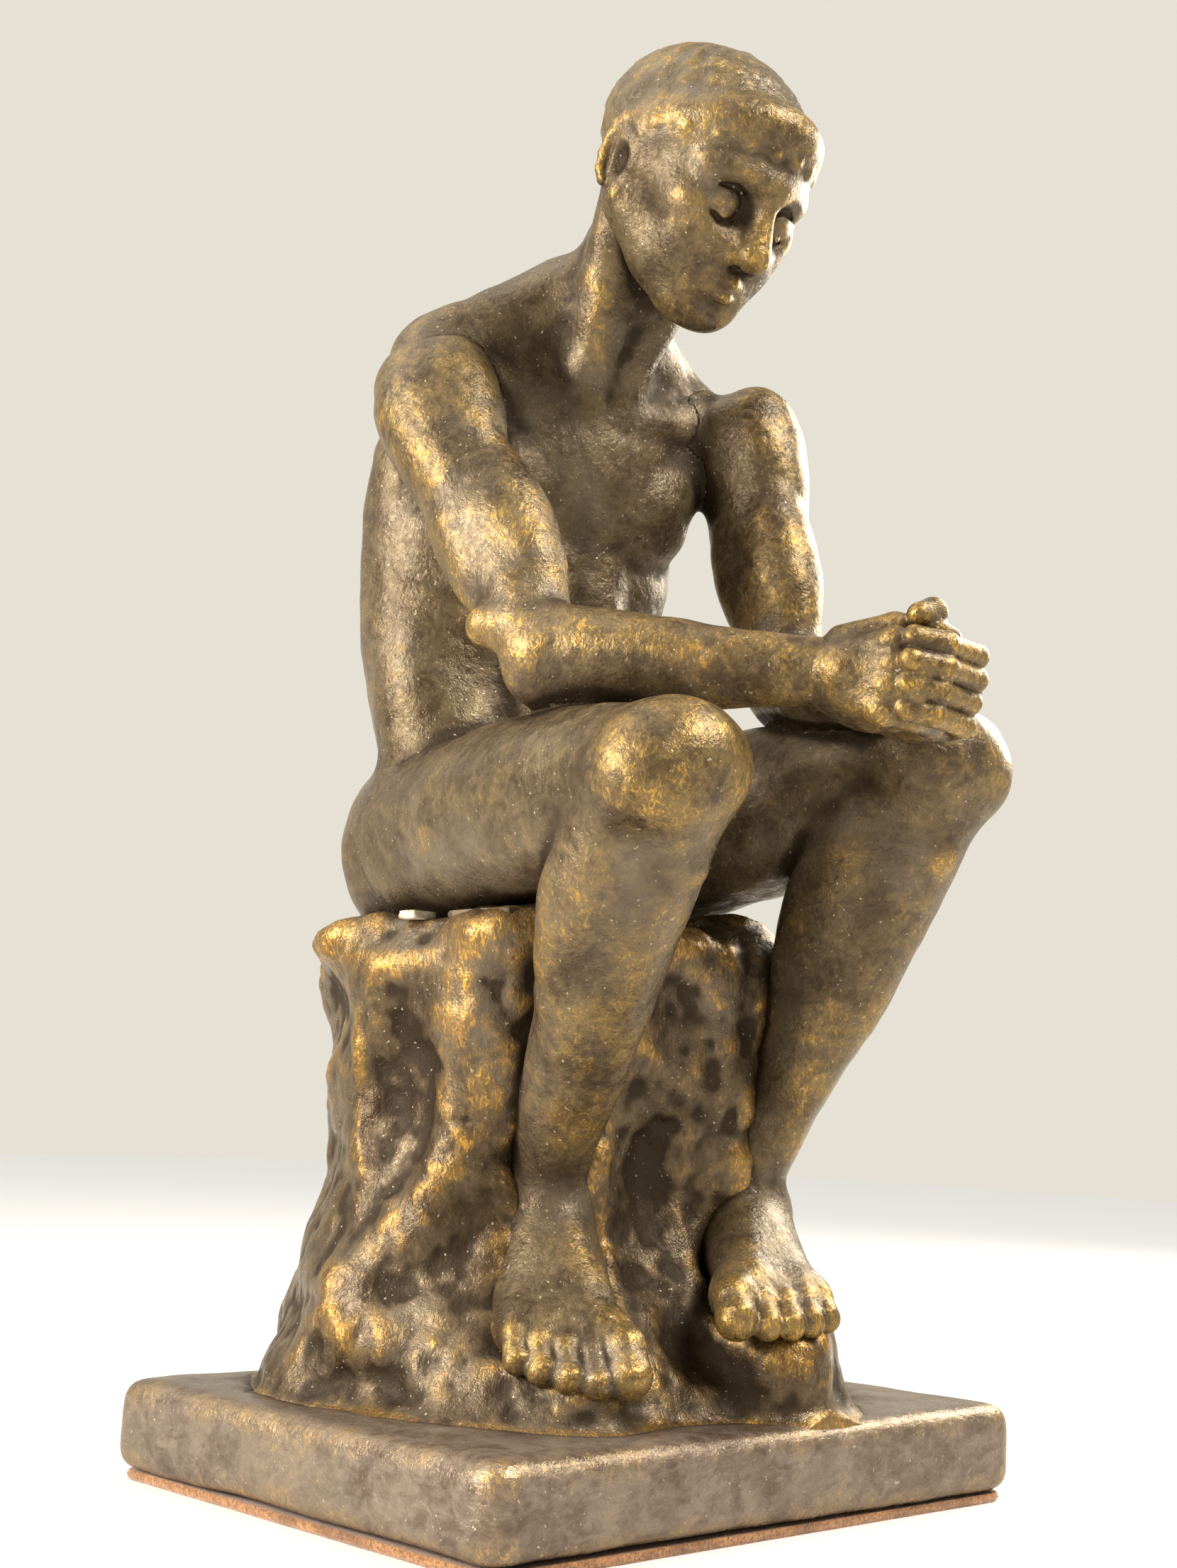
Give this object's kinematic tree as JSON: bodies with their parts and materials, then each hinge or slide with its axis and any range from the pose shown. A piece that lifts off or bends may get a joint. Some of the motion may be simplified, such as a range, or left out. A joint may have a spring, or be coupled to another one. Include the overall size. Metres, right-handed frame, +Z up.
{
  "type": "seated figure statuette",
  "caption": "Bronze-painted statuette of a seated man deep in thought, head bowed and hands clasped over his knees, on a rough boulder and a rectangular plinth, an ornament for a shelf.",
  "frame": {"origin": "middle of the felt's flat underside, where the statuette rests", "axes": "+Z up; the figure faces -Y; +X is the figure's own left"},
  "size_m": [0.118, 0.1257, 0.2474],
  "materials": {
    "felt": "matt felt",
    "plinth_stone": "bronze-coloured paint, satin",
    "boulder_stone": "bronze-coloured paint dry-brushed with gold, satin",
    "figure_stone": "bronze-coloured paint dry-brushed with gold, satin",
    "shim_card": "matt, painted over",
    "shim_plaster": "matt",
    "steel": "plain"
  },
  "bodies": {
    "root": {"felt_pad": "felt", "plinth": "plinth_stone", "boulder": "boulder_stone", "trunk": "figure_stone", "head": "figure_stone", "right_arm": "figure_stone", "left_arm": "figure_stone", "clasped_hands": "figure_stone", "right_leg": "figure_stone", "left_leg": "figure_stone", "seat_shim_strip": "shim_card", "seat_shim_block": "shim_plaster", "armature_rod": "steel", "rod_washer": "steel", "rod_nut": "steel", "neck_peg": "steel", "right_shoulder_peg": "steel", "left_shoulder_peg": "steel", "right_hip_peg": "steel", "left_hip_peg": "steel", "right_wrist_peg": "steel", "left_wrist_peg": "steel"}
  },
  "joints": []
}
